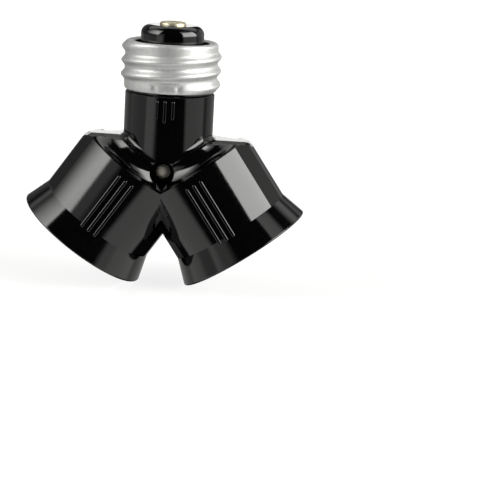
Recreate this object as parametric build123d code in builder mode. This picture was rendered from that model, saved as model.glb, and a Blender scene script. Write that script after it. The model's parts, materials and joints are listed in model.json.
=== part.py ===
"""Double light socket: a screw plug that feeds two slanted lamp sockets.

The origin is on the plug's axis, where the plug shell meets the neck. +Z points up to the plug's
button, X runs through both sockets, and the front half of the housing is on the -Y side.
A distance "s" runs down a socket's axis from the point where both socket axes meet the plug's axis.
Sizes are in millimetres and angles in degrees.
"""

import math
import os

from build123d import *

SIDES = {"left": -1, "right": 1}
FACES = {"front": -1, "back": 1}
CLEARANCE = 0.1

# Layout of the two sockets
SPREAD = 34.5
APEX_Z = -9.3

# Barrels, round each socket's axis
BARREL_R = 16.35
END_FACE_S = 8.8
END_FLAT_MARGIN = 0.2
FLARE_LENGTH = 7.1
RIM_R = 18.65
RIM_ROUND = 0.35
PANEL_ANGLE = 35.0
NOSE_ANGLE = 12.0
PANEL_STEP = 0.3

# Neck, shoulders and button
NECK_R = 11.75
NECK_BOTTOM_Z = -25.0
NECK_CHAMFER = 0.45
COVE_R = 1.3
COVE_SHARE_OF_WALL = 0.42
SHOULDER_Z = -12.3
SHOULDER_ROUND = 2.6
SHOULDER_EASE = 1.15
CREASE_ROUND = 0.4
CORE_TOP_Z = 12.3
BUTTON_R = 8.3
BUTTON_TOP_Z = 17.4
BUTTON_ROUND = 2.4

# Raised ribs for the fingers, in threes
RIB_WIDTH = 0.9
RIB_HEIGHT = 0.4
RIB_ROUND = 0.3
BARREL_RIB_SPACING = 2.05
BARREL_RIB_START_S = 15.2
BARREL_RIB_END_S = 32.2
NECK_RIB_SPACING = 2.1
NECK_RIB_TOP_Z = -1.2
NECK_RIB_LENGTH = 4.9
MIDDLE_RIB_EXTRA = 0.9

# Lamp thread and its sheet shells
THREAD_PITCH = 3.629
THREAD_DEPTH = 0.95
RIDGE_WIDTH = 2.9
SHEET = 0.4
PLUG_ROOT_R = 12.2
PLUG_SHELL_BOTTOM_Z = 0.4
PLUG_SHELL_TOP_Z = 13.2
PLUG_TUCK = 1.2
PLUG_THREAD_START_Z = 2.27
PLUG_TURNS = 2.5
CORE_PLAY = 0.45
LIP_PLAY = 0.25
SOCKET_ROOT_R = 13.4
SOCKET_SHELL_LENGTH = 12.6
SOCKET_THREAD_INSET = 1.8
SOCKET_TURNS = 2.5
LIP_STEP = 1.35
LIP_FLARE = 1.1
NOTCH_WIDTH = 5.2
NOTCH_DEPTH = 1.0

# Inside of each barrel
FLOOR_S = 16.0
SEAT_LEDGE = 0.8
MOUTH_DEPTH = 4.1
MOUTH_TAPER = 0.85

# Open channel between the sockets
CHANNEL_HALF_X = 3.6
CHANNEL_HALF_Y = 9.0
CHANNEL_TOP_Z = -24.6
CHANNEL_BOTTOM_Z = -32.0

# Rivet that clamps the halves
RIVET_Z = -20.1
RIVET_R = 1.4
RIVET_HEAD_R = 1.9
RIVET_HEAD_HEIGHT = 1.1
RECESS_R = 3.2
RECESS_FLOOR_Y = 8.4

# Centre contact of the plug
EYELET_R = 3.5
EYELET_BORE_R = 1.1
EYELET_SHANK_R = 1.6
EYELET_FLANGE = 0.8
CORE_POCKET_TOP_Z = 15.4
CORE_POCKET_DEPTH = 2.2
CORE_POCKET_WIDTH = 7.0

# Brass straps and leaf contacts
STRAP = 0.6
CENTRE_STRAP_WIDTH = 4.0
STRAP_LEG_X = 2.5
RUNNING_GAP = 0.15
LEAF = 0.5
LEAF_WIDTH = 8.4
LEAF_LENGTH = 7.0
LEAF_RISE = 10.0
LEAF_CORNER_R = 1.6
ROLL_R = 0.9
HINGE_W = -0.3
SHELL_STRAP_Y = 4.6
SHELL_STRAP_WIDTH = 5.0
TONGUE_BOTTOM_Z = 1.6
TONGUE_LENGTH = 6.5
WING_GAP = 0.28
TAB_NEAR_Y = 1.4
TAB_HEIGHT = 1.9
TAB_RIVET_R = 0.6
TAB_RIVET_HEAD_R = 0.9
TAB_RIVET_HEAD = 0.3
RIVET_PLAY = 0.4

SIN = math.sin(math.radians(SPREAD))
COS = math.cos(math.radians(SPREAD))

# Sizes that follow from those above
END_ROUND = BARREL_R - NECK_R - END_FLAT_MARGIN
NECK_WALL = BARREL_R - math.hypot(END_FACE_S * SIN / COS, NECK_R)
NECK_COVE = min(COVE_R, NECK_WALL * COVE_SHARE_OF_WALL)
PLUG_CREST_R = PLUG_ROOT_R + THREAD_DEPTH
CORE_R = PLUG_ROOT_R - SHEET - CORE_PLAY
PLUG_LIP_R = CORE_R + LIP_PLAY
SOCKET_CREST_R = SOCKET_ROOT_R - THREAD_DEPTH
BORE_R = SOCKET_ROOT_R + SHEET + CLEARANCE
LIP_R = SOCKET_ROOT_R + LIP_STEP
RIM_INNER_R = LIP_R + CLEARANCE + MOUTH_TAPER
CHAMBER_R = SOCKET_ROOT_R - SEAT_LEDGE
WING_OUT_W = -CHAMBER_R - STRAP
TAB_TOP_S = (WING_GAP - WING_OUT_W * COS) / SIN
TAB_RIVET_S = TAB_TOP_S + TAB_HEIGHT / 2
SEAT_S = TAB_TOP_S + TAB_HEIGHT
LIP_S = SEAT_S + SOCKET_SHELL_LENGTH
RIM_S = LIP_S + MOUTH_DEPTH
FLARE_S = RIM_S - FLARE_LENGTH
HINGE_S = FLOOR_S + ROLL_R + CLEARANCE
TONGUE_OUT_R = PLUG_ROOT_R - SHEET - CLEARANCE
TONGUE_Y = math.sqrt(TONGUE_OUT_R**2 - (SHELL_STRAP_WIDTH / 2) ** 2) - STRAP


def polar(radius, turn):
    """Point of a plane at a radius and an angle."""
    return (radius * math.cos(math.radians(turn)), radius * math.sin(math.radians(turn)))


def socket_point(side, w, s):
    """X and Z of a place in a socket's middle plane: w out from its axis, s along the axis."""
    return (side * (s * SIN + w * COS), APEX_Z - s * COS + w * SIN)


def socket_axis(side):
    """The axis of one socket, pointing out of its mouth."""
    return Axis(origin=(0, 0, APEX_Z), direction=(side * SIN, 0, -COS))


def section_plane(side, y=0):
    """Plane along a socket's axis: X is the distance w out from the axis and Y the distance s."""
    return Plane(origin=(0, y, APEX_Z), x_dir=(side * COS, 0, SIN), z_dir=(0, side, 0))


def cross_plane(side, s):
    """Plane across a socket's axis at distance s: X points away from the other socket."""
    x, z = socket_point(side, 0, s)
    return Plane(origin=(x, 0, z), x_dir=(side * COS, 0, SIN), z_dir=(side * SIN, 0, -COS))


def radial_plane(side, face, turn, s, radius):
    """Plane facing outwards on a barrel, with X along the socket's axis."""
    base = cross_plane(side, s)
    out = base.x_dir * math.sin(math.radians(turn)) + Vector(0, face, 0) * math.cos(math.radians(turn))
    return Plane(origin=base.origin + out * radius, x_dir=base.z_dir, z_dir=out)


def tab_rivet_plane(side, w):
    """Plane across a strap rivet's axis, facing out from the other socket, at distance w."""
    x, z = socket_point(side, w, TAB_RIVET_S)
    return Plane(origin=(x, (TAB_NEAR_Y + SHELL_STRAP_Y) / 2, z), z_dir=(side * COS, 0, SIN))


def shell_tab(side):
    """Tab that stands up from a socket shell's inner end, against a wing of the shell strap."""
    with BuildPart() as tab:
        with BuildSketch(section_plane(side, y=TAB_NEAR_Y)):
            Polygon(
                (-SOCKET_ROOT_R - SHEET, SEAT_S + CLEARANCE),
                (-CHAMBER_R, SEAT_S + CLEARANCE),
                (-CHAMBER_R, TAB_TOP_S),
                (-CHAMBER_R + SHEET, TAB_TOP_S),
                (-CHAMBER_R + SHEET, SEAT_S + CLEARANCE + SHEET),
                (-SOCKET_ROOT_R - SHEET, SEAT_S + CLEARANCE + SHEET),
                align=None,
            )
        extrude(amount=side * (SHELL_STRAP_Y - TAB_NEAR_Y))
        with BuildSketch(cross_plane(side, TAB_TOP_S)):
            Circle(SOCKET_ROOT_R + SHEET)
        extrude(amount=SEAT_S, mode=Mode.INTERSECT)
        with BuildSketch(tab_rivet_plane(side, -CHAMBER_R)):
            Circle(TAB_RIVET_R + CLEARANCE / 2)
        extrude(amount=SHEET, mode=Mode.SUBTRACT)
    return tab.part


def centre_strap_line():
    """Middle line of the centre strap, from one socket's floor over the plug's foot to the other."""
    foot_z = CORE_POCKET_TOP_Z - STRAP / 2
    half = []
    knee_s = (STRAP_LEG_X - HINGE_W * COS) / SIN
    for side in (-1, 1):
        end = socket_point(side, HINGE_W, HINGE_S - ROLL_R - RUNNING_GAP)
        knee = socket_point(side, HINGE_W, knee_s)
        half.append([end, knee, (side * STRAP_LEG_X, foot_z)])
    return half[0] + half[1][::-1]


def barrel():
    """The right barrel: rounded upper end and flared, rounded rim."""
    with BuildPart() as shape:
        with BuildSketch(section_plane(1)) as profile:
            with BuildLine():
                end_face = Line((0, END_FACE_S), (BARREL_R - END_ROUND, END_FACE_S))
                rounding = RadiusArc(end_face @ 1, (BARREL_R, END_FACE_S + END_ROUND), END_ROUND)
                Polyline(rounding @ 1, (BARREL_R, FLARE_S), (RIM_R, RIM_S), (0, RIM_S), (0, END_FACE_S))
            make_face()
            fillet(profile.vertices().sort_by_distance((RIM_R, RIM_S))[0], RIM_ROUND)
        revolve(axis=socket_axis(1))
    return shape.part


def right_half():
    """Everything of the outer shape that lies right of the plug's axis, up to the top of the neck."""
    with BuildPart() as half:
        add(barrel())

        # Flat shoulder, rounded down onto the outer side of the barrel
        corner_x = (BARREL_R - (SHOULDER_Z - APEX_Z) * SIN) / COS
        leg = SHOULDER_ROUND * math.tan(math.radians(90 - SPREAD) / 2)
        round_end = (corner_x + leg * SIN, SHOULDER_Z - leg * COS)
        with BuildSketch(Plane.XZ.offset(-RIM_S)):
            with BuildLine():
                flat = Line((0, SHOULDER_Z), (corner_x - SHOULDER_EASE * leg, SHOULDER_Z))
                TangentArc(flat @ 1, round_end, tangent=(1, 0))
                Polyline(round_end, (RIM_S, round_end[1]), (RIM_S, 0), (0, 0), (0, SHOULDER_Z))
            make_face()
        extrude(amount=2 * RIM_S, mode=Mode.SUBTRACT)
        split(bisect_by=Plane.YZ, keep=Keep.TOP)
        crease = half.faces().sort_by(Axis.Z)[-1].edges().sort_by(Axis.X)[:-1]
        fillet(crease, CREASE_ROUND)

        # Neck, with a cove where it stands on the shoulder and the barrel's end
        with BuildSketch(Plane.XY.offset(NECK_BOTTOM_Z)):
            Circle(NECK_R)
        extrude(amount=-NECK_BOTTOM_Z)
        split(bisect_by=Plane.YZ, keep=Keep.TOP)
        fillet(half.edges().filter_by(runs_round_neck), NECK_COVE)

        # Flat panels beside the seam, set a step below the barrel
        panel = [
            polar(BARREL_R - PANEL_STEP, PANEL_ANGLE),
            polar(BARREL_R, NOSE_ANGLE),
            polar(BARREL_R + END_ROUND, NOSE_ANGLE),
            polar(BARREL_R + END_ROUND, PANEL_ANGLE),
        ]
        with BuildSketch(cross_plane(1, FLARE_S)):
            Polygon(*panel, align=None)
            mirror(about=Plane.XZ)
            mirror(about=Plane.YZ)
        extrude(amount=END_FACE_S - FLARE_S, mode=Mode.SUBTRACT)
    return half.part


def runs_round_neck(edge):
    """True for the edges where the neck meets the barrel's end and the shoulder."""
    places = [edge @ 0, edge @ 0.5, edge @ 1]
    on_neck = all(abs(math.hypot(place.X, place.Y) - NECK_R) < CLEARANCE / 2 for place in places)
    return on_neck and all(NECK_BOTTOM_Z + NECK_R / 2 < place.Z < SHOULDER_Z + CLEARANCE for place in places)


def rib(length):
    """One raised rib, rounded along its top."""
    with BuildPart() as bar:
        with BuildSketch():
            SlotOverall(length, RIB_WIDTH)
        extrude(amount=2 * RIB_HEIGHT)
        fillet(bar.faces().sort_by(Axis.Z)[-1].edges(), RIB_ROUND)
    return bar.part


# Outer shape of the moulding, both halves together

with BuildPart() as moulding:
    add(right_half())
    mirror(about=Plane.YZ)

    # Core and button above the neck
    chamfer(moulding.edges().group_by(Axis.Z)[-1], NECK_CHAMFER)
    with BuildSketch(Plane.XY):
        Circle(CORE_R)
    extrude(amount=CORE_TOP_Z)
    with BuildSketch(Plane.XY.offset(CORE_TOP_Z)):
        Circle(BUTTON_R)
    extrude(amount=BUTTON_TOP_Z - CORE_TOP_Z)
    fillet(moulding.edges().group_by(Axis.Z)[-1], BUTTON_ROUND)

    # Recess for the rivet's head and its formed tail
    for face in FACES.values():
        with BuildSketch(Plane(origin=(0, face * RECESS_FLOOR_Y, RIVET_Z), z_dir=(0, face, 0))):
            Circle(RECESS_R)
        extrude(amount=BARREL_R - RECESS_FLOOR_Y, mode=Mode.SUBTRACT)

    # Finger ribs on the neck, the middle one longer, and along each barrel onto its flare
    for face in FACES.values():
        for place in (-1, 0, 1):
            length = NECK_RIB_LENGTH + (MIDDLE_RIB_EXTRA if place == 0 else 0)
            turn = place * NECK_RIB_SPACING / NECK_R
            out = Vector(math.sin(turn), face * math.cos(turn), 0)
            middle = out * (NECK_R - RIB_HEIGHT) + Vector(0, 0, NECK_RIB_TOP_Z - length / 2)
            with Locations(Plane(origin=middle, x_dir=(0, 0, 1), z_dir=out)):
                add(rib(length))
    rib_length = BARREL_RIB_END_S - BARREL_RIB_START_S
    for side in SIDES.values():
        for face in FACES.values():
            for place in (-1, 0, 1):
                turn = math.degrees(place * BARREL_RIB_SPACING / BARREL_R)
                middle_s = BARREL_RIB_START_S + rib_length / 2
                with Locations(radial_plane(side, face, turn, middle_s, BARREL_R - RIB_HEIGHT)):
                    add(rib(rib_length))

    # Chamber, seat for the thread shell and tapered mouth of each socket
    for side in SIDES.values():
        with BuildSketch(section_plane(side)):
            Polygon(
                (0, FLOOR_S),
                (CHAMBER_R, FLOOR_S),
                (CHAMBER_R, SEAT_S),
                (BORE_R, SEAT_S),
                (BORE_R, LIP_S - LIP_FLARE),
                (LIP_R + CLEARANCE, LIP_S - LIP_FLARE / 2),
                (LIP_R + CLEARANCE, LIP_S),
                (RIM_INNER_R, RIM_S),
                (0, RIM_S),
                align=None,
            )
        revolve(axis=socket_axis(side), mode=Mode.SUBTRACT)

        # Keys that stand in the notches of the shell's lip
        for face in FACES.values():
            with BuildSketch(cross_plane(side, LIP_S - LIP_FLARE)):
                with Locations((0, face * LIP_R)):
                    Rectangle(NOTCH_WIDTH, 2 * NOTCH_DEPTH)
            extrude(amount=LIP_FLARE)

    # Open channel between the two chambers
    with BuildSketch(Plane.XY.offset(CHANNEL_BOTTOM_Z)):
        Rectangle(2 * CHANNEL_HALF_X, 2 * CHANNEL_HALF_Y)
    extrude(amount=CHANNEL_TOP_Z - CHANNEL_BOTTOM_Z, mode=Mode.SUBTRACT)

    # Slot for the staple-shaped centre strap, and the pocket under the button for its foot
    with BuildSketch(Plane.XZ.offset(-CENTRE_STRAP_WIDTH / 2 - CLEARANCE)):
        with BuildLine():
            Polyline(*centre_strap_line())
        trace(line_width=STRAP + 2 * CLEARANCE)
        with Locations((0, CORE_POCKET_TOP_Z)):
            Rectangle(CORE_POCKET_WIDTH, CORE_POCKET_DEPTH, align=(Align.CENTER, Align.MAX))
    extrude(amount=CENTRE_STRAP_WIDTH + 2 * CLEARANCE, mode=Mode.SUBTRACT)

    # Slot for the shell strap in the back half, with the groove for its tongue under the plug shell
    slot_y = SHELL_STRAP_Y - CLEARANCE
    with BuildSketch(Plane.XZ.offset(-slot_y)):
        with Locations((0, TONGUE_BOTTOM_Z + STRAP + CLEARANCE)):
            slot_length = TONGUE_BOTTOM_Z + STRAP + CLEARANCE - CHANNEL_TOP_Z
            Rectangle(SHELL_STRAP_WIDTH + 2 * CLEARANCE, slot_length, align=(Align.CENTER, Align.MAX))
    extrude(amount=-STRAP - 2 * CLEARANCE, mode=Mode.SUBTRACT)
    with BuildSketch(Plane.XZ.offset(-slot_y)):
        with Locations((0, TONGUE_BOTTOM_Z - CLEARANCE)):
            Rectangle(SHELL_STRAP_WIDTH + 2 * CLEARANCE, STRAP + 2 * CLEARANCE, align=(Align.CENTER, Align.MIN))
    extrude(amount=-CORE_R, mode=Mode.SUBTRACT)
    with BuildSketch(Plane.XZ.offset(-TONGUE_Y + CLEARANCE)):
        with Locations((0, TONGUE_BOTTOM_Z)):
            Rectangle(SHELL_STRAP_WIDTH + 2 * CLEARANCE, TONGUE_LENGTH + CLEARANCE, align=(Align.CENTER, Align.MIN))
    extrude(amount=-CORE_R, mode=Mode.SUBTRACT)

    # Pocket where the shell strap's wings meet the tabs of the socket shells
    for side in SIDES.values():
        with BuildSketch(section_plane(side, y=TAB_NEAR_Y - CLEARANCE)):
            Polygon(
                (WING_OUT_W - RIVET_PLAY, TAB_TOP_S - RIVET_PLAY),
                (-CHAMBER_R + SHEET + RIVET_PLAY, TAB_TOP_S - RIVET_PLAY),
                (-CHAMBER_R + SHEET + RIVET_PLAY, SEAT_S + SHEET + CLEARANCE),
                (WING_OUT_W - RIVET_PLAY, SEAT_S + SHEET + CLEARANCE),
                align=None,
            )
        extrude(amount=side * (SHELL_STRAP_Y + STRAP + 2 * CLEARANCE - TAB_NEAR_Y), mode=Mode.SUBTRACT)
    fork_x, fork_z = socket_point(1, WING_OUT_W, SEAT_S)
    with BuildSketch(Plane.XZ.offset(-TAB_NEAR_Y + CLEARANCE)):
        with Locations((0, fork_z - CLEARANCE)):
            Rectangle(
                2 * (fork_x + CLEARANCE),
                CHANNEL_BOTTOM_Z + STRAP - fork_z,
                align=(Align.CENTER, Align.MIN),
            )
    extrude(amount=-(SHELL_STRAP_Y + STRAP + 2 * CLEARANCE - TAB_NEAR_Y), mode=Mode.SUBTRACT)

    # Holes for the eyelet's shank and for the clamping rivet
    with BuildSketch(Plane.XY.offset(BUTTON_TOP_Z)):
        Circle(EYELET_SHANK_R + CLEARANCE)
    extrude(amount=CORE_POCKET_TOP_Z - BUTTON_TOP_Z, mode=Mode.SUBTRACT)
    with BuildSketch(Plane(origin=(0, -RECESS_FLOOR_Y, RIVET_Z), z_dir=(0, 1, 0))):
        Circle(RIVET_R + CLEARANCE)
    extrude(amount=2 * RECESS_FLOOR_Y, mode=Mode.SUBTRACT)

with BuildPart() as front_housing:
    add(moulding.part)
    split(bisect_by=Plane.XZ, keep=Keep.TOP)

with BuildPart() as back_housing:
    add(moulding.part)
    split(bisect_by=Plane.XZ, keep=Keep.BOTTOM)

# Rivet through both halves, with a domed head at the front and a formed tail at the back

with BuildPart() as housing_rivet:
    head_top = RECESS_FLOOR_Y + RIVET_HEAD_HEIGHT
    with BuildSketch(Plane.XY.offset(RIVET_Z)):
        with BuildLine():
            Line((0, -head_top), (0, head_top))
            tail = TangentArc((0, head_top), (RIVET_HEAD_R, RECESS_FLOOR_Y), tangent=(1, 0))
            Polyline(tail @ 1, (RIVET_R, RECESS_FLOOR_Y), (RIVET_R, -RECESS_FLOOR_Y), (RIVET_HEAD_R, -RECESS_FLOOR_Y))
            TangentArc((0, -head_top), (RIVET_HEAD_R, -RECESS_FLOOR_Y), tangent=(1, 0))
        make_face()
    revolve(axis=Axis(origin=(0, 0, RIVET_Z), direction=(0, 1, 0)))


def thread_ridge(centre, direction, turns, root_r, crest_r):
    """Helical ridge of a rolled lamp thread, from a radius just inside the sheet to its crest."""
    with BuildPart() as ridge:
        with BuildLine() as path:
            helix = Helix(THREAD_PITCH, turns * THREAD_PITCH, root_r, center=centre, direction=direction)
        start = helix @ 0
        out = (start - Vector(centre)).normalized()
        with BuildSketch(Plane(origin=centre, x_dir=out, z_dir=out.cross(Vector(direction)))):
            with BuildLine():
                ridge_foot = RIDGE_WIDTH / 2
                ThreePointArc((root_r, -ridge_foot), (crest_r, 0), (root_r, ridge_foot))
                Line((root_r, ridge_foot), (root_r, -ridge_foot))
            make_face()
        sweep(path=path.line, is_frenet=True)
    return ridge.part


# Thread shell of the plug

with BuildPart() as plug_shell:
    inner_r = PLUG_ROOT_R - SHEET
    with BuildSketch(Plane.XZ):
        with BuildLine():
            Polyline(
                (CORE_R + CLEARANCE, PLUG_SHELL_BOTTOM_Z),
                (CORE_R + CLEARANCE + SHEET, PLUG_SHELL_BOTTOM_Z),
                (PLUG_ROOT_R, PLUG_SHELL_BOTTOM_Z + PLUG_TUCK),
                (PLUG_ROOT_R, PLUG_SHELL_TOP_Z - PLUG_TUCK),
                (PLUG_LIP_R + SHEET, PLUG_SHELL_TOP_Z),
                (PLUG_LIP_R, PLUG_SHELL_TOP_Z),
                (inner_r, PLUG_SHELL_TOP_Z - PLUG_TUCK),
                (inner_r, PLUG_SHELL_BOTTOM_Z + PLUG_TUCK),
                (CORE_R + CLEARANCE, PLUG_SHELL_BOTTOM_Z),
            )
        make_face()
    revolve(axis=Axis.Z)
    add(thread_ridge((0, 0, PLUG_THREAD_START_Z), (0, 0, 1), PLUG_TURNS, PLUG_ROOT_R - SHEET / 2, PLUG_CREST_R))

# Thread shells of the two sockets

socket_shells = {}
for name, side in SIDES.items():
    with BuildPart() as socket_shell:
        outer_r = SOCKET_ROOT_R + SHEET
        with BuildSketch(section_plane(side)):
            Polygon(
                (SOCKET_ROOT_R, SEAT_S + CLEARANCE),
                (outer_r, SEAT_S + CLEARANCE),
                (outer_r, LIP_S - LIP_FLARE),
                (LIP_R, LIP_S - LIP_FLARE / 2),
                (LIP_R, LIP_S),
                (LIP_R - SHEET, LIP_S),
                (LIP_R - SHEET, LIP_S - LIP_FLARE / 2 + SHEET / 2),
                (SOCKET_ROOT_R, LIP_S - LIP_FLARE + SHEET / 2),
                align=None,
            )
        revolve(axis=socket_axis(side))
        x, z = socket_point(side, 0, SEAT_S + SOCKET_THREAD_INSET)
        direction = (side * SIN, 0, -COS)
        add(thread_ridge((x, 0, z), direction, SOCKET_TURNS, SOCKET_ROOT_R + SHEET / 2, SOCKET_CREST_R))
        add(shell_tab(side))
        for face in FACES.values():
            with BuildSketch(cross_plane(side, LIP_S - LIP_FLARE)):
                with Locations((0, face * LIP_R)):
                    Rectangle(NOTCH_WIDTH + 2 * CLEARANCE, 2 * NOTCH_DEPTH + 2 * CLEARANCE)
            extrude(amount=2 * LIP_FLARE, mode=Mode.SUBTRACT)
    socket_shells[name] = socket_shell

# Eyelet on the button

with BuildPart() as plug_eyelet:
    strap_top_z = CORE_POCKET_TOP_Z
    with BuildSketch(Plane.XZ):
        with BuildLine():
            Polyline(
                (EYELET_BORE_R, strap_top_z - STRAP),
                (EYELET_SHANK_R, strap_top_z - STRAP),
                (EYELET_SHANK_R, BUTTON_TOP_Z),
                (EYELET_R, BUTTON_TOP_Z),
                (EYELET_R, BUTTON_TOP_Z + EYELET_FLANGE / 2),
                (EYELET_R - EYELET_FLANGE / 2, BUTTON_TOP_Z + EYELET_FLANGE),
                (EYELET_BORE_R + EYELET_FLANGE, BUTTON_TOP_Z + EYELET_FLANGE),
                (EYELET_BORE_R, BUTTON_TOP_Z),
                (EYELET_BORE_R, strap_top_z - STRAP),
            )
        make_face()
    revolve(axis=Axis.Z)

# Staple-shaped brass strap from the eyelet to both leaf contacts

with BuildPart() as centre_strap:
    with BuildSketch(Plane.XZ.offset(-CENTRE_STRAP_WIDTH / 2)):
        with BuildLine():
            Polyline(*centre_strap_line())
        trace(line_width=STRAP)
    extrude(amount=CENTRE_STRAP_WIDTH)
    with BuildSketch(Plane.XY.offset(CORE_POCKET_TOP_Z)):
        Circle(EYELET_SHANK_R)
    extrude(amount=-STRAP, mode=Mode.SUBTRACT)

# Brass strap from under the plug shell, past the clamping rivet, to the tabs of both socket shells

with BuildPart() as shell_strap:
    strip_bottom = socket_point(1, WING_OUT_W, TAB_TOP_S)
    wing_end = socket_point(1, WING_OUT_W, SEAT_S)
    strip = [
        (SHELL_STRAP_WIDTH / 2, TONGUE_BOTTOM_Z),
        (SHELL_STRAP_WIDTH / 2, CHANNEL_BOTTOM_Z + 2 * STRAP),
        strip_bottom,
        wing_end,
    ]
    mirrored = [(-x, z) for x, z in reversed(strip)]
    with BuildSketch(Plane.XZ.offset(-SHELL_STRAP_Y)):
        Polygon(*strip, *mirrored, align=None)
        with Locations((0, RIVET_Z)):
            Circle(RIVET_R + CLEARANCE, mode=Mode.SUBTRACT)
    extrude(amount=-STRAP)
    with BuildSketch(Plane.YZ.offset(-SHELL_STRAP_WIDTH / 2)):
        with BuildLine():
            Polyline(
                (SHELL_STRAP_Y, TONGUE_BOTTOM_Z),
                (TONGUE_Y + STRAP, TONGUE_BOTTOM_Z),
                (TONGUE_Y + STRAP, TONGUE_BOTTOM_Z + TONGUE_LENGTH),
                (TONGUE_Y, TONGUE_BOTTOM_Z + TONGUE_LENGTH),
                (TONGUE_Y, TONGUE_BOTTOM_Z + STRAP),
                (SHELL_STRAP_Y, TONGUE_BOTTOM_Z + STRAP),
                close=True,
            )
        make_face()
    extrude(amount=SHELL_STRAP_WIDTH)
    for side in SIDES.values():
        with BuildSketch(section_plane(side, y=TAB_NEAR_Y)):
            Polygon(
                (WING_OUT_W, TAB_TOP_S),
                (WING_OUT_W + STRAP, TAB_TOP_S),
                (WING_OUT_W + STRAP, SEAT_S),
                (WING_OUT_W, SEAT_S),
                align=None,
            )
        extrude(amount=side * (SHELL_STRAP_Y + STRAP - TAB_NEAR_Y))
        with BuildSketch(tab_rivet_plane(side, WING_OUT_W)):
            Circle(TAB_RIVET_R + CLEARANCE / 2)
        extrude(amount=STRAP, mode=Mode.SUBTRACT)

# Small rivets that join the strap's wings to the shells' tabs

strap_rivets = {}
for name, side in SIDES.items():
    with BuildPart() as strap_rivet:
        with BuildSketch(tab_rivet_plane(side, WING_OUT_W - TAB_RIVET_HEAD)):
            Circle(TAB_RIVET_HEAD_R)
        extrude(amount=TAB_RIVET_HEAD)
        with BuildSketch(tab_rivet_plane(side, WING_OUT_W)):
            Circle(TAB_RIVET_R)
        extrude(amount=STRAP + SHEET)
        with BuildSketch(tab_rivet_plane(side, WING_OUT_W + STRAP + SHEET)):
            Circle(TAB_RIVET_HEAD_R)
        extrude(amount=TAB_RIVET_HEAD)
    strap_rivets[name] = strap_rivet

# Sprung leaf over each socket's floor, rolled round its bend line

leaves = {}
for name, side in SIDES.items():
    with BuildPart() as leaf:
        rise = math.radians(LEAF_RISE)
        along = Vector(math.cos(rise), math.sin(rise))
        normal = Vector(-math.sin(rise), math.cos(rise))
        root = Vector(HINGE_W, HINGE_S) + normal * (ROLL_R - LEAF)
        tip = root + along * LEAF_LENGTH
        with BuildSketch(section_plane(side, y=-side * LEAF_WIDTH / 2)):
            with Locations((HINGE_W, HINGE_S)):
                Circle(ROLL_R)
            Polygon(root, tip, tip + normal * LEAF, root + normal * LEAF, align=None)
        extrude(amount=LEAF_WIDTH)
        tip_edges = leaf.edges().filter_by(lambda edge: abs(edge.length - LEAF) < CLEARANCE / 2)
        fillet(tip_edges.sort_by_distance(Vector(0, 0, APEX_Z))[-2:], LEAF_CORNER_R)
    leaves[name] = leaf

pieces = {
    "front_housing": front_housing,
    "back_housing": back_housing,
    "housing_rivet": housing_rivet,
    "plug_shell": plug_shell,
    "plug_eyelet": plug_eyelet,
    "centre_strap": centre_strap,
    "shell_strap": shell_strap,
    "left_strap_rivet": strap_rivets["left"],
    "right_strap_rivet": strap_rivets["right"],
    "left_socket_shell": socket_shells["left"],
    "right_socket_shell": socket_shells["right"],
    "left_contact": leaves["left"],
    "right_contact": leaves["right"],
}
os.makedirs("parts", exist_ok=True)
for name, piece in pieces.items():
    piece.part.label = name
    export_step(piece.part, f"parts/{name}.step")
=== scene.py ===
"""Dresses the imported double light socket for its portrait: moulded housing, rolled threads, brass contacts.

Blender works in metres. The sizes named here are in millimetres, and MM turns them to metres. Angles are
in degrees. A distance "s" runs down a socket's axis from the apex, where both axes meet the plug's axis.
"""

import json
import math

import bmesh
import bpy
from mathutils import Matrix, Vector


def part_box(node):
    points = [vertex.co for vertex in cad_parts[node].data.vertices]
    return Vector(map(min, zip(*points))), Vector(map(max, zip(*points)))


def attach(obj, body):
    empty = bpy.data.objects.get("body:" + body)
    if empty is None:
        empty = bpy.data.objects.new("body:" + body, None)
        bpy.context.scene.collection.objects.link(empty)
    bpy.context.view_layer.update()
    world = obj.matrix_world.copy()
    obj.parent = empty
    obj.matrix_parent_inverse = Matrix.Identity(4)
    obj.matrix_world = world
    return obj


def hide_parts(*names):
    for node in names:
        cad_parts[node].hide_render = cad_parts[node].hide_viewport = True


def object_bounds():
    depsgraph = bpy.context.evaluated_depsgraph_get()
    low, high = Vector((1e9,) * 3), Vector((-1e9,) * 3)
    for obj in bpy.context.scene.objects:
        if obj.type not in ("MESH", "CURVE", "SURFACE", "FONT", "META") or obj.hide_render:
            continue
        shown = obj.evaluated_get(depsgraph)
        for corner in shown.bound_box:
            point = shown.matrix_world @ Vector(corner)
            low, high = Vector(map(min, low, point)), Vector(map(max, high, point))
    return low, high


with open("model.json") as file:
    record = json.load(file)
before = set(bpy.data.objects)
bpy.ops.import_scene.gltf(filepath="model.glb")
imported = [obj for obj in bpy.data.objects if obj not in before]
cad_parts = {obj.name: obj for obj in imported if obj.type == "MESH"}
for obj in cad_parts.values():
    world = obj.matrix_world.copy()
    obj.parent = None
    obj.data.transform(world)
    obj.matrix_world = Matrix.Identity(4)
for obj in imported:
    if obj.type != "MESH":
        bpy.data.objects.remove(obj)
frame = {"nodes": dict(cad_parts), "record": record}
cad_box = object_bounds()

MM = 0.001

# Side of the square photograph in pixels, and the table top under the piece
PICTURE_PX = 500
TABLE_WIDTH = 3000
TABLE_GAP = 0.2

# The two sockets' axes
SPREAD = 34.5
APEX_Z = -9.3

# Lamp thread rolled in sheet. THREAD_FADE is in turns, and RIDGE_SHARPNESS narrows the crest
THREAD_PITCH = 3.629
THREAD_DEPTH = 0.95
THREAD_TURNS = 2.5
THREAD_FADE = 0.22
RIDGE_SHARPNESS = 1.25
SHEET = 0.4
EDGE_ROUND = 0.12
CREASE_ANGLE = 50

# Fineness of the sheet's mesh
ROW = 0.14
AROUND = 192
BEND_STEPS = 8
MERGE = 0.002

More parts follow.
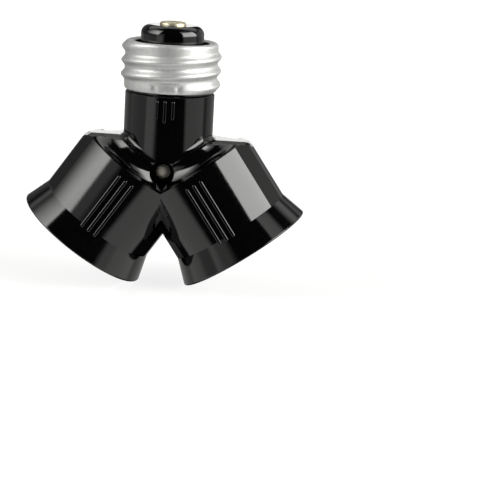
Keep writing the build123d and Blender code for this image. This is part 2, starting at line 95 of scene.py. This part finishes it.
# Plug shell: tucked foot, rounded top with its lip turned in, and the crimp on the front
PLUG_ROOT_R = 12.2
PLUG_THREAD_START_Z = 2.27
TUCK_HEIGHT = 1.5
TUCK_DEPTH = 0.4
LIP_BEND = 0.9
LIP_FALL = 0.35
PLUG_LIP_INNER_R = 9.7
CRIMP_X = 0.15
CRIMP_HALF_WIDTH = 3.9
CRIMP_HEIGHT = 2.4
CRIMP_DEPTH = 0.1
CRIMP_SIDE_EASE = 0.7
CRIMP_TOP_EASE = 0.6
MARK_OFFSET = 3.1
MARK_WIDTH = 0.45
MARK_HEIGHT = 2.2
MARK_DEPTH = 0.22

# Socket shells, each with a lip at the mouth and a tab at its seat
SOCKET_ROOT_R = 13.4
SOCKET_LENGTH = 12.5
SEAT_S = 21.7
SOCKET_THREAD_INSET = 1.7
LIP_FLARE = 1.1
LIP_STEP = 0.95
NOTCH_WIDTH = 5.4
TAB_TOP_S = 19.7
TAB_R = 12.6
TAB_NEAR_Y = 1.4
TAB_FAR_Y = 4.6

# Surface of the moulding: orange peel, parting line, and the fall of its faces away from that line
PEEL_DEPTH = 0.002
SEAM_WIDTH = 0.14
SEAM_DEPTH = 0.02
MOULD_DRAFT = 0.028

# Eyelet on the button: shank, rolled flange, shallow dish and hole
EYELET_R = 3.5
EYELET_SHANK_R = 1.6
EYELET_HOLE_R = 0.8
EYELET_HEIGHT = 0.8
EYELET_ROLL = 0.72
DISH_R = 2.5
DISH_SLOPE = 0.45
DISH_DEPTH = 0.3
HOLE_LEAD_WIDTH = 0.15
HOLE_LEAD_DEPTH = 0.2
EYELET_RING_PITCH = 0.45
EYELET_AROUND = 96
EYELET_CREASE_ANGLE = 35


# Studio: camera, surroundings and floor


def place_camera():
    """The photograph's view of this unit: a long lens, a little above, tilted a few degrees."""
    azimuth = math.radians(3.1)
    elevation = math.radians(11.65)
    roll = math.radians(3.14)
    distance = 537.62 * MM
    focal_px = 2051.23
    target = Vector((0, 0, 7.8 * MM))
    target_px = (171.44, 61.29)
    level = Vector((math.cos(azimuth), math.sin(azimuth), 0))
    ahead = Vector((math.sin(azimuth), -math.cos(azimuth), 0))
    back = ahead * math.cos(elevation) + Vector((0, 0, math.sin(elevation)))
    upright = back.cross(level)
    right = math.cos(roll) * level + math.sin(roll) * upright
    up = -math.sin(roll) * level + math.cos(roll) * upright
    data = bpy.data.cameras.new("portrait_lens")
    data.sensor_width = 36
    data.lens = data.sensor_width * focal_px / PICTURE_PX
    data.clip_start = 0.01
    data.clip_end = 20
    camera = bpy.data.objects.new("portrait_camera", data)
    bpy.context.scene.collection.objects.link(camera)
    turn = Matrix((right, up, back)).transposed().to_4x4()
    spot = target + back * distance
    spot -= right * ((target_px[0] - PICTURE_PX / 2) / focal_px * distance)
    spot -= up * ((PICTURE_PX / 2 - target_px[1]) / focal_px * distance)
    camera.matrix_world = Matrix.Translation(spot) @ turn
    bpy.context.scene.camera = camera


def linear(code):
    """An sRGB hex colour as Blender's linear red, green, blue and alpha."""
    parts = [int(code[i : i + 2], 16) / 255 for i in (1, 3, 5)]
    return [c / 12.92 if c <= 0.04045 else ((c + 0.055) / 1.055) ** 2.4 for c in parts] + [1.0]


def add_node(tree, kind, settings=None, inputs=None):
    """Adds a node. An input is a value to set, or another node or its socket to link."""
    made = tree.nodes.new(kind)
    for name, value in (settings or {}).items():
        setattr(made, name, value)
    for name, value in (inputs or {}).items():
        if isinstance(value, bpy.types.Node):
            value = value.outputs[0]
        if isinstance(value, bpy.types.NodeSocket):
            tree.links.new(value, made.inputs[name])
        else:
            made.inputs[name].default_value = value
    return made


def between(tree, value, low, low_soft, high, high_soft):
    """1 where the value lies between low and high, with a soft fade to 0 round each end."""
    smooth = {"interpolation_type": "SMOOTHSTEP"}
    from_low = {"Value": value, "From Min": low - low_soft, "From Max": low + low_soft}
    to_high = {"Value": value, "From Min": high - high_soft, "From Max": high + high_soft}
    rising = add_node(tree, "ShaderNodeMapRange", smooth, from_low)
    falling = add_node(tree, "ShaderNodeMapRange", smooth, to_high | {"To Min": 1.0, "To Max": 0.0})
    return add_node(tree, "ShaderNodeMath", {"operation": "MULTIPLY"}, {0: rising, 1: falling})


def studio_world():
    """White studio: softboxes at both sides, a pale table, and a dark gap where the photographer stands.

    The camera sees plain white, and the piece mirrors the panels.
    """
    world = bpy.data.worlds.new("white_studio")
    bpy.context.scene.world = world
    world.use_nodes = True
    tree = world.node_tree
    tree.nodes.clear()
    way = add_node(tree, "ShaderNodeTexCoord").outputs["Generated"]
    parts = add_node(tree, "ShaderNodeSeparateXYZ", inputs={0: way}).outputs
    degrees = {"operation": "DEGREES"}
    forward = add_node(tree, "ShaderNodeMath", {"operation": "MULTIPLY"}, {0: parts["Y"], 1: -1.0})
    turn = add_node(tree, "ShaderNodeMath", {"operation": "ARCTAN2"}, {0: parts["X"], 1: forward})
    side = add_node(tree, "ShaderNodeMath", degrees, {0: turn})
    tilt = add_node(tree, "ShaderNodeMath", {"operation": "ARCSINE"}, {0: parts["Z"]})
    rise = add_node(tree, "ShaderNodeMath", degrees, {0: tilt})
    # Each panel: its strength, its two ends sideways and its two ends upwards, each end with its softness
    panels = [
        # Softboxes, left and right, and what lies beside them
        (6.8, (-82, 34, -46.5, 3.5), (11, 9, 51, 13)),
        (0.55, (-54, 3, -27, 6), (-14, 4, 20, 6)),
        (7.8, (44, 1.5, 103, 3), (3.5, 4, 43, 9)),
        (1.3, (41, 3, 80, 10), (46, 5, 58, 6)),
        (0.5, (106, 3, 158, 10), (-4, 3, 28, 6)),
        (0.13, (-181, 1, -112, 10), (-4, 3, 28, 6)),
        # White sweep behind, low, and its fall-off above
        (1.45, (166, 4, 182, 1), (1, 2, 9.6, 0.8)),
        (1.45, (-182, 1, -166, 4), (1, 2, 9.6, 0.8)),
        (1.0, (120, 10, 182, 1), (35, 5, 68, 6)),
        (1.0, (-182, 1, -114, 10), (35, 5, 68, 6)),
        # White table round the piece, brighter near it
        (0.75, (46, 5, 104, 8), (-15, 2, 0.5, 2)),
        (0.42, (-112, 10, -32, 5), (-15, 2, 1, 3)),
        (0.35, (112, 8, 182, 1), (-15, 2, -2, 2)),
        (0.3, (-182, 1, -116, 8), (-15, 2, -2, 2)),
        (1.05, (34, 8, 118, 8), (-28, 3, -15, 2)),
        (0.8, (-110, 8, -34, 8), (-28, 3, -15, 2)),
        (0.45, (120, 8, 182, 1), (-28, 3, -15, 2)),
        (0.4, (-182, 1, -112, 8), (-28, 3, -15, 2)),
        (0.95, (-98, 5, 102, 6), (-91, 1, -28, 3)),
    ]
    dim_room = 0.01
    total = dim_room
    for strength, side_ends, rise_ends in panels:
        across = between(tree, side, *side_ends)
        upward = between(tree, rise, *rise_ends)
        panel = add_node(tree, "ShaderNodeMath", {"operation": "MULTIPLY"}, {0: across, 1: upward})
        added = {0: panel, 1: strength, 2: total}
        total = add_node(tree, "ShaderNodeMath", {"operation": "MULTIPLY_ADD"}, added)
    tent = add_node(tree, "ShaderNodeBackground", inputs={"Color": linear("#fdfdfb"), "Strength": total})
    white = add_node(tree, "ShaderNodeBackground", inputs={"Color": linear("#ffffff"), "Strength": 1.0})
    seen = add_node(tree, "ShaderNodeLightPath").outputs["Is Camera Ray"]
    mix = add_node(tree, "ShaderNodeMixShader", inputs={0: seen, 1: tent, 2: white})
    add_node(tree, "ShaderNodeOutputWorld", inputs={"Surface": mix})


def floor():
    """White lacquered table top with a soft shadow and a faint picture of the rims, unseen from below."""
    height = cad_box[0].z - TABLE_GAP * MM
    bpy.ops.mesh.primitive_plane_add(size=TABLE_WIDTH * MM, location=(0, 0, height))
    table_top = bpy.context.object
    table_top.name = "table_top"
    material = bpy.data.materials.new("white_lacquer")
    material.use_nodes = True
    tree = material.node_tree
    tree.nodes.clear()
    glow_share = 0.75
    gloss_share = 0.13
    paint = add_node(tree, "ShaderNodeBsdfDiffuse", inputs={"Color": linear("#f4f4f2")})
    glow = add_node(tree, "ShaderNodeEmission", inputs={"Color": linear("#ffffff"), "Strength": 1.24})
    pale = add_node(tree, "ShaderNodeMixShader", inputs={0: glow_share, 1: paint, 2: glow})
    gloss = add_node(tree, "ShaderNodeBsdfGlossy", inputs={"Color": linear("#ffffff"), "Roughness": 0.1})
    top = add_node(tree, "ShaderNodeMixShader", inputs={0: gloss_share, 1: pale, 2: gloss})
    seen = add_node(tree, "ShaderNodeLightPath").outputs["Is Camera Ray"]
    below = add_node(tree, "ShaderNodeNewGeometry").outputs["Backfacing"]
    shows = {"operation": "SUBTRACT", "use_clamp": True}
    seen_from_above = add_node(tree, "ShaderNodeMath", shows, {0: seen, 1: below})
    clear = add_node(tree, "ShaderNodeBsdfTransparent")
    shown = add_node(tree, "ShaderNodeMixShader", inputs={0: seen_from_above, 1: clear, 2: top})
    add_node(tree, "ShaderNodeOutputMaterial", inputs={"Surface": shown})
    table_top.data.materials.append(material)


# Finishes


def finish(name):
    """A new material with its shader, and the piece's own coordinates in millimetres."""
    material = bpy.data.materials.new(name)
    material.use_nodes = True
    tree = material.node_tree
    shader = tree.nodes["Principled BSDF"]
    place = add_node(tree, "ShaderNodeTexCoord").outputs["Object"]
    in_mm = add_node(tree, "ShaderNodeVectorMath", {"operation": "SCALE"}, {0: place, "Scale": 1 / MM})
    return material, tree, shader, in_mm


def mottle(tree, place, per_mm, low, high, detail=2.0):
    """Values that wander between low and high, about per_mm times in each millimetre."""
    waves = {"Vector": place, "Scale": per_mm, "Detail": detail}
    cloud = add_node(tree, "ShaderNodeTexNoise", inputs=waves)
    ends = {"Value": cloud, "From Min": 0.3, "From Max": 0.7, "To Min": low, "To Max": high}
    return add_node(tree, "ShaderNodeMapRange", inputs=ends)


def two_tone(tree, shader, place, per_mm, pale, deep):
    """The surface's colour, wandering between two shades."""
    shades = {0: mottle(tree, place, per_mm, 0, 1), 6: linear(pale), 7: linear(deep)}
    shade = add_node(tree, "ShaderNodeMix", {"data_type": "RGBA"}, shades)
    tree.links.new(shade.outputs[2], shader.inputs["Base Color"])


def uneven_gloss(tree, shader, place, per_mm, low, high):
    """The surface's roughness, wandering between low and high."""
    rough = mottle(tree, place, per_mm, low, high)
    tree.links.new(rough.outputs[0], shader.inputs["Roughness"])


def relief(tree, shader, height, depth_mm, strength):
    """Fine relief of the surface, by bump."""
    settings = {"Strength": strength, "Distance": depth_mm * MM, "Height": height}
    bump = add_node(tree, "ShaderNodeBump", inputs=settings)
    tree.links.new(bump.outputs[0], shader.inputs["Normal"])


def moulded_phenolic():
    """Black phenolic, compression moulded in a polished tool.

    It has a deep gloss with a faint orange peel, and a parting line where the halves meet. The draft of the
    mould tilts the barrels' faces away from that line, so front and back mirror different things.
    """
    material, tree, shader, place = finish("moulded_black_phenolic")
    two_tone(tree, shader, place, 0.6, "#020202", "#040404")
    uneven_gloss(tree, shader, place, 1.1, 0.05, 0.1)
    shader.inputs["IOR"].default_value = 1.55
    peel = mottle(tree, place, 0.8, 0, PEEL_DEPTH, 1.0)
    parts = add_node(tree, "ShaderNodeSeparateXYZ", inputs={0: place}).outputs
    from_seam = add_node(tree, "ShaderNodeMath", {"operation": "ABSOLUTE"}, {0: parts["Y"]})
    groove = {"Value": from_seam, "From Min": 0.0, "From Max": SEAM_WIDTH, "To Max": SEAM_DEPTH}
    seam = add_node(tree, "ShaderNodeMapRange", {"interpolation_type": "SMOOTHSTEP"}, groove)
    drafted = add_node(tree, "ShaderNodeMath", {"operation": "LESS_THAN"}, {0: parts["Z"], 1: 0.0})
    away = add_node(tree, "ShaderNodeMath", {"operation": "MULTIPLY"}, {0: from_seam, 1: drafted})
    marked = add_node(tree, "ShaderNodeMath", {"operation": "ADD"}, {0: peel, 1: seam})
    fallen = {0: away, 1: -MOULD_DRAFT, 2: marked}
    height = add_node(tree, "ShaderNodeMath", {"operation": "MULTIPLY_ADD"}, fallen)
    relief(tree, shader, height, 1.0, 1.0)
    return material


def rolled_aluminium(name, lean):
    """Bare aluminium sheet, drawn and rolled into a thread: satin, with fine lines round its axis.

    The lines are drawn coarser than real ones, so that they show. The shader is only partly metallic, for
    the soft contrast that the dull sheet has in the photograph.
    """
    material, tree, shader, place = finish(name)
    two_tone(tree, shader, place, 1.2, "#c0c0bf", "#cdcdcc")
    turned = {"Vector": place, "Rotation": (0, math.radians(lean), 0), "Scale": (0.3, 0.3, 7.0)}
    along = add_node(tree, "ShaderNodeMapping", inputs=turned)
    lines = mottle(tree, along, 1.0, 0, 1, 3.0)
    rough = add_node(tree, "ShaderNodeMapRange", inputs={"Value": lines, "To Min": 0.42, "To Max": 0.52})
    shader.inputs["Metallic"].default_value = 0.78
    tree.links.new(rough.outputs[0], shader.inputs["Roughness"])
    relief(tree, shader, lines, 0.01, 0.25)
    return material


def stamped_brass():
    """Stamped brass strip: warm and bright from the rolls, slightly tarnished in patches."""
    material, tree, shader, place = finish("stamped_brass")
    two_tone(tree, shader, place, 0.4, "#ceb172", "#c0a05f")
    shader.inputs["Metallic"].default_value = 1.0
    uneven_gloss(tree, shader, place, 0.7, 0.22, 0.3)
    return material


def tinned_eyelet_brass():
    """Tinned brass eyelet, pressed over on the button: pale and soft, with fine rings round its hole."""
    material, tree, shader, place = finish("tinned_eyelet_brass")
    two_tone(tree, shader, place, 1.1, "#d0cab2", "#bbb498")
    shader.inputs["Metallic"].default_value = 0.85
    uneven_gloss(tree, shader, place, 3.0, 0.34, 0.44)
    flat = add_node(tree, "ShaderNodeVectorMath", {"operation": "MULTIPLY"}, {0: place, 1: (1, 1, 0)})
    out = add_node(tree, "ShaderNodeVectorMath", {"operation": "LENGTH"}, {0: flat}).outputs["Value"]
    rings_per_mm = 2 * math.pi / EYELET_RING_PITCH
    phase = add_node(tree, "ShaderNodeMath", {"operation": "MULTIPLY"}, {0: out, 1: rings_per_mm})
    rings = add_node(tree, "ShaderNodeMath", {"operation": "SINE"}, {0: phase})
    relief(tree, shader, rings, 0.03, 0.35)
    return material


def headed_steel():
    """Nickel-plated steel rivet, cold headed: pale and warm, with a frosted shine.

    The shader is only a little metallic, because the head is evenly pale in the photograph.
    """
    material, tree, shader, place = finish("nickel_plated_steel")
    two_tone(tree, shader, place, 1.4, "#f2eee0", "#e2dcc8")
    shader.inputs["Metallic"].default_value = 0.25
    uneven_gloss(tree, shader, place, 3.0, 0.38, 0.46)
    return material


# Rolled thread shells and the eyelet


def ease(value):
    """0 below 0, 1 above 1, and a smooth rise between."""
    value = min(max(value, 0.0), 1.0)
    return value * value * (3 - 2 * value)


def fall_at(value, edge, width):
    """1 below the edge, 0 above it, and a smooth fall over the width round it."""
    return 1 - ease((value - edge) / width + 0.5)


def select_only(piece):
    """Makes one piece the selected and active one."""
    bpy.ops.object.select_all(action="DESELECT")
    bpy.context.view_layer.objects.active = piece
    piece.select_set(True)


def spun(name, outline, steps):
    """Sheet spun round Z from an outline of radii and heights in millimetres."""
    mesh = bpy.data.meshes.new(name)
    points = [(radius * MM, 0, height * MM) for radius, height in outline]
    mesh.from_pydata(points, [(i, i + 1) for i in range(len(points) - 1)], [])
    piece = bpy.data.objects.new(name, mesh)
    bpy.context.scene.collection.objects.link(piece)
    select_only(piece)
    bpy.ops.object.mode_set(mode="EDIT")
    bpy.ops.mesh.select_all(action="SELECT")
    bpy.ops.mesh.spin(steps=steps, angle=2 * math.pi, center=(0, 0, 0), axis=(0, 0, 1))
    bpy.ops.mesh.select_all(action="SELECT")
    bpy.ops.mesh.remove_doubles(threshold=MERGE * MM)
    bpy.ops.mesh.normals_make_consistent(inside=False)
    bpy.ops.object.mode_set(mode="OBJECT")
    return piece


def thread_share(turn, height, start, turns):
    """How far the ridge stands out at a turn (1 is once round) and height: 0 in the root, 1 on a crest."""
    lap = round((height - start) / THREAD_PITCH - turn)
    along = turn + lap
    off_crest = (height - start) / THREAD_PITCH - along
    fade_in = ease((along + THREAD_FADE) / THREAD_FADE)
    fade_out = ease((turns + THREAD_FADE - along) / THREAD_FADE)
    return fade_in * fade_out * (0.5 + 0.5 * math.cos(2 * math.pi * off_crest)) ** RIDGE_SHARPNESS


def roll_thread(piece, start, turns, depth):
    """Moves the sheet out along a right-hand helix, or in where depth is negative."""
    for vertex in piece.data.vertices:
        x, y, z = vertex.co / MM
        turn = math.atan2(y, x) / (2 * math.pi) % 1
        moved = 1 + depth * thread_share(turn, z, start, turns) / math.hypot(x, y)
        vertex.co = Vector((x * moved, y * moved, z)) * MM


def give_wall(piece):
    """Turns the sheet into metal of its thickness, with softly rounded edges."""
    select_only(piece)
    wall = piece.modifiers.new("sheet", "SOLIDIFY")
    wall.thickness = SHEET * MM
    wall.offset = -1
    wall.use_even_offset = True
    bpy.ops.object.modifier_apply(modifier=wall.name)
    edges = piece.modifiers.new("edges", "BEVEL")
    edges.width = EDGE_ROUND * MM
    edges.segments = 2
    edges.limit_method = "ANGLE"
    edges.angle_limit = math.radians(CREASE_ANGLE)
    bpy.ops.object.modifier_apply(modifier=edges.name)
    bpy.ops.object.shade_smooth_by_angle(angle=math.radians(CREASE_ANGLE))


def plug_outline():
    """Outer outline of the plug's shell: tucked under at the neck, turned in over the core at the top."""
    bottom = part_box("plug_shell")[0].z / MM
    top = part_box("plug_shell")[1].z / MM
    straight = top - LIP_BEND - bottom
    wall_rows = round(straight / ROW)
    outline = []
    for row in range(wall_rows + 1):
        height = bottom + straight * row / wall_rows
        tuck = 1 - min((height - bottom) / TUCK_HEIGHT, 1)
        outline.append((PLUG_ROOT_R - TUCK_DEPTH * (1 - math.sqrt(1 - tuck * tuck)), height))
    for step in range(1, BEND_STEPS + 1):
        turn = math.pi / 2 * step / BEND_STEPS
        radius = PLUG_ROOT_R - LIP_BEND * (1 - math.cos(turn))
        outline.append((radius, top - LIP_BEND * (1 - math.sin(turn))))
    outline.append((PLUG_LIP_INNER_R + LIP_BEND / 2, top - LIP_FALL / 2))
    outline.append((PLUG_LIP_INNER_R, top - LIP_FALL))
    return outline


def crimp(piece):
    """Presses the shell's foot into the neck at the front, with a punch mark at each end of the flat."""
    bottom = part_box("plug_shell")[0].z / MM
    for vertex in piece.data.vertices:
        x, y, z = vertex.co / MM
        if y > 0:
            continue
        off = abs(x - CRIMP_X)
        flat = CRIMP_DEPTH * fall_at(off, CRIMP_HALF_WIDTH, CRIMP_SIDE_EASE)
        flat *= fall_at(z - bottom, CRIMP_HEIGHT, CRIMP_TOP_EASE)
        mark = MARK_DEPTH * math.exp(-(((off - MARK_OFFSET) / MARK_WIDTH) ** 2))
        mark *= fall_at(z - bottom, MARK_HEIGHT, CRIMP_TOP_EASE)
        moved = 1 - (flat + mark) / math.hypot(x, y)
        vertex.co = Vector((x * moved, y * moved, z)) * MM


def plug_thread():
    """The plug's aluminium shell, with its rolled thread."""
    piece = spun("plug_thread_shell", plug_outline(), AROUND)
    roll_thread(piece, PLUG_THREAD_START_Z, THREAD_TURNS, THREAD_DEPTH)
    crimp(piece)
    give_wall(piece)
    return piece


def socket_frame(side):
    """Place and turn of a socket's axis: Z runs out of its mouth and X away from the other socket."""
    lean = math.radians(SPREAD)
    out = Vector((side * math.sin(lean), 0, -math.cos(lean)))
    away = Vector((side * math.cos(lean), 0, math.sin(lean)))
    turn = Matrix((away, out.cross(away), out)).transposed().to_4x4()
    return Matrix.Translation((0, 0, APEX_Z * MM)) @ turn


def socket_outline():
    """Inner outline of a socket's shell, from its seat to the flared lip at the mouth."""
    straight = SOCKET_LENGTH - LIP_FLARE
    rows = round(straight / ROW)
    outline = []
    for row in range(rows + 1):
        outline.append((SOCKET_ROOT_R, SEAT_S + straight * row / rows))
    for step in range(1, BEND_STEPS + 1):
        share = step / BEND_STEPS
        radius = SOCKET_ROOT_R + LIP_STEP * ease(share)
        outline.append((radius, SEAT_S + SOCKET_LENGTH - LIP_FLARE * (1 - share)))
    return outline


def socket_thread(name, side):
    """A socket's aluminium shell: thread rolled inwards, lip flared and notched for the two keys."""
    piece = spun(name, socket_outline(), AROUND)
    roll_thread(piece, SEAT_S + SOCKET_THREAD_INSET, THREAD_TURNS, -THREAD_DEPTH)
    notch_floor = SEAT_S + SOCKET_LENGTH - LIP_FLARE
    select_only(piece)
    bpy.ops.object.mode_set(mode="EDIT")
    for edge in (-1, 1):
        bpy.ops.mesh.select_all(action="SELECT")
        bpy.ops.mesh.bisect(plane_co=(edge * NOTCH_WIDTH / 2 * MM, 0, 0), plane_no=(1, 0, 0))
    bpy.ops.mesh.select_all(action="SELECT")
    bpy.ops.mesh.bisect(plane_co=(0, 0, notch_floor * MM), plane_no=(0, 0, 1))
    bpy.ops.mesh.select_all(action="DESELECT")
    sheet = bmesh.from_edit_mesh(piece.data)
    for face in sheet.faces:
        middle = face.calc_center_median() / MM
        face.select_set(abs(middle.x) < NOTCH_WIDTH / 2 and middle.z > notch_floor)
    bmesh.update_edit_mesh(piece.data)
    bpy.ops.mesh.delete(type="FACE")
    bpy.ops.mesh.select_all(action="SELECT")
    bpy.ops.mesh.normals_make_consistent(inside=True)
    bpy.ops.object.mode_set(mode="OBJECT")
    give_wall(piece)
    tab = shell_tab(side)
    select_only(piece)
    tab.select_set(True)
    bpy.ops.object.join()
    piece.data.transform(socket_frame(side))
    return piece


def shell_tab(side):
    """Bent tab on the shell's inner end, to which the brass strap is riveted."""
    foot_s = SEAT_S + SHEET / 2
    stem_w = -TAB_R + SHEET / 2
    outline = [(-SOCKET_ROOT_R, foot_s), (stem_w, foot_s), (stem_w, TAB_TOP_S)]
    mesh = bpy.data.meshes.new("shell_tab")
    points = [(w * MM, -side * TAB_NEAR_Y * MM, s * MM) for w, s in outline]
    mesh.from_pydata(points, [(0, 1), (1, 2)], [])
    tab = bpy.data.objects.new("shell_tab", mesh)
    bpy.context.scene.collection.objects.link(tab)
    select_only(tab)
    bpy.ops.object.mode_set(mode="EDIT")
    bpy.ops.mesh.select_all(action="SELECT")
    width = -side * (TAB_FAR_Y - TAB_NEAR_Y) * MM
    bpy.ops.mesh.extrude_region_move(TRANSFORM_OT_translate={"value": (0, width, 0)})
    bpy.ops.object.mode_set(mode="OBJECT")
    wall = tab.modifiers.new("sheet", "SOLIDIFY")
    wall.thickness = SHEET * MM
    wall.offset = 0
    bpy.ops.object.modifier_apply(modifier=wall.name)
    return tab


def eyelet():
    """Eyelet pressed over on the button: a rolled ring round a shallow dish, with a hole in the middle."""
    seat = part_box("plug_eyelet")[0].z / MM
    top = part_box("plug_eyelet")[1].z / MM
    foot = top - EYELET_HEIGHT
    dish_floor = top - DISH_DEPTH
    outline = [(EYELET_HOLE_R, seat), (EYELET_SHANK_R, seat), (EYELET_SHANK_R, foot), (EYELET_R, foot)]
    for step in range(BEND_STEPS + 1):
        turn = math.pi / 2 * step / BEND_STEPS
        radius = EYELET_R - EYELET_ROLL * (1 - math.cos(turn))
        outline.append((radius, top - EYELET_ROLL * (1 - math.sin(turn))))
    for step in range(BEND_STEPS + 1):
        share = step / BEND_STEPS
        outline.append((DISH_R - DISH_SLOPE * share, top - DISH_DEPTH * ease(share)))
    outline.append((EYELET_HOLE_R + HOLE_LEAD_WIDTH, dish_floor))
    outline.append((EYELET_HOLE_R, dish_floor - HOLE_LEAD_DEPTH))
    outline.append((EYELET_HOLE_R, seat))
    piece = spun("eyelet_ring", outline, EYELET_AROUND)
    select_only(piece)
    bpy.ops.object.shade_smooth_by_angle(angle=math.radians(EYELET_CREASE_ANGLE))
    return piece


place_camera()
studio_world()
floor()

phenolic = moulded_phenolic()
plug_aluminium = rolled_aluminium("rolled_plug_aluminium", 0)
left_aluminium = rolled_aluminium("rolled_left_aluminium", -SPREAD)
right_aluminium = rolled_aluminium("rolled_right_aluminium", SPREAD)
brass = stamped_brass()
eyelet_brass = tinned_eyelet_brass()
steel = headed_steel()

# CAD pieces that keep their shape and get their finish

FINISHES = {
    "front_housing": phenolic,
    "back_housing": phenolic,
    "housing_rivet": steel,
    "centre_strap": brass,
    "shell_strap": brass,
    "left_strap_rivet": steel,
    "right_strap_rivet": steel,
    "left_contact": brass,
    "right_contact": brass,
}
for node, material in FINISHES.items():
    for material_slot in frame["nodes"][node].material_slots:
        material_slot.material = material

# Pieces made here, which stand for their CAD nodes

BODIES = frame["record"]["behaviour"]["bodies"]
BODY_OF = {node: body for body, nodes in BODIES.items() for node in nodes}
MADE = [
    (plug_thread(), "plug_shell", plug_aluminium, "shell_metal"),
    (socket_thread("left_thread_shell", -1), "left_socket_shell", left_aluminium, "shell_metal"),
    (socket_thread("right_thread_shell", 1), "right_socket_shell", right_aluminium, "shell_metal"),
    (eyelet(), "plug_eyelet", eyelet_brass, "contact_brass"),
]
for piece, node, material, slot in MADE:
    piece.data.materials.append(material)
    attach(piece, BODY_OF[node])
    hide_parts(node)

bpy.context.scene.view_settings.view_transform = "Standard"
